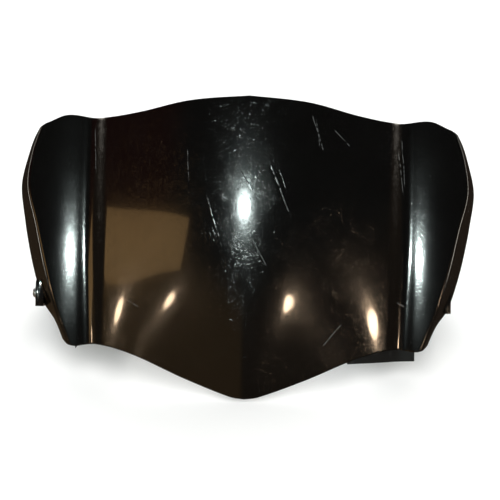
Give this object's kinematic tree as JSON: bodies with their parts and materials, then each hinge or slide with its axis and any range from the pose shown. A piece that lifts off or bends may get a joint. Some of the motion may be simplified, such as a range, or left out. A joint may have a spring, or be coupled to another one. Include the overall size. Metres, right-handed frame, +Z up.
{
  "type": "motorcycle windshield screen",
  "caption": "Short smoked scooter windscreen with side return flanges, a spined lower lip, moulded rear brackets, ear fixings and rubber-damped frame bolts.",
  "frame": {"origin": "middle of the four frame bolts, on the plane that their collars are clamped against", "axes": "+X to the viewer's right when facing the screen, -Y to the front of the scooter, +Z up; the face leans back 35 degrees as mounted"},
  "size_m": [0.46, 0.1898, 0.2566],
  "materials": {
    "smoked_screen": "near-black smoked polycarbonate, high gloss with fine wiping scratches",
    "bracket_plastic": "moulded glass-filled nylon, matt with a fine grain",
    "black_rubber": "soft black rubber, slightly dusty",
    "foam_tape": "closed-cell foam tape, dull dark grey",
    "plated_steel": "zinc-plated steel, satin",
    "collar_alloy": "turned aluminium, fine lathe lines",
    "spring_steel": "phosphated spring steel, dark grey"
  },
  "bodies": {
    "root": {"screen_shell": "smoked_screen", "centre_peg": "bracket_plastic", "peg_tape": "foam_tape", "peg_grommet": "black_rubber", "bracket_left": "bracket_plastic", "bond_tape_left": "foam_tape", "edge_seal_left": "black_rubber", "ear_screw_left": "plated_steel", "ear_washer_left": "plated_steel", "ear_grommet_left": "black_rubber", "ear_collar_left": "collar_alloy", "ear_clip_nut_left": "spring_steel", "bracket_right": "bracket_plastic", "bond_tape_right": "foam_tape", "edge_seal_right": "black_rubber", "ear_screw_right": "plated_steel", "ear_washer_right": "plated_steel", "ear_grommet_right": "black_rubber", "ear_collar_right": "collar_alloy", "ear_clip_nut_right": "spring_steel", "frame_grommet_left_lower": "black_rubber", "frame_collar_left_lower": "collar_alloy", "frame_grommet_left_upper": "black_rubber", "frame_collar_left_upper": "collar_alloy", "frame_grommet_right_lower": "black_rubber", "frame_collar_right_lower": "collar_alloy", "frame_grommet_right_upper": "black_rubber", "frame_collar_right_upper": "collar_alloy"}
  },
  "joints": []
}
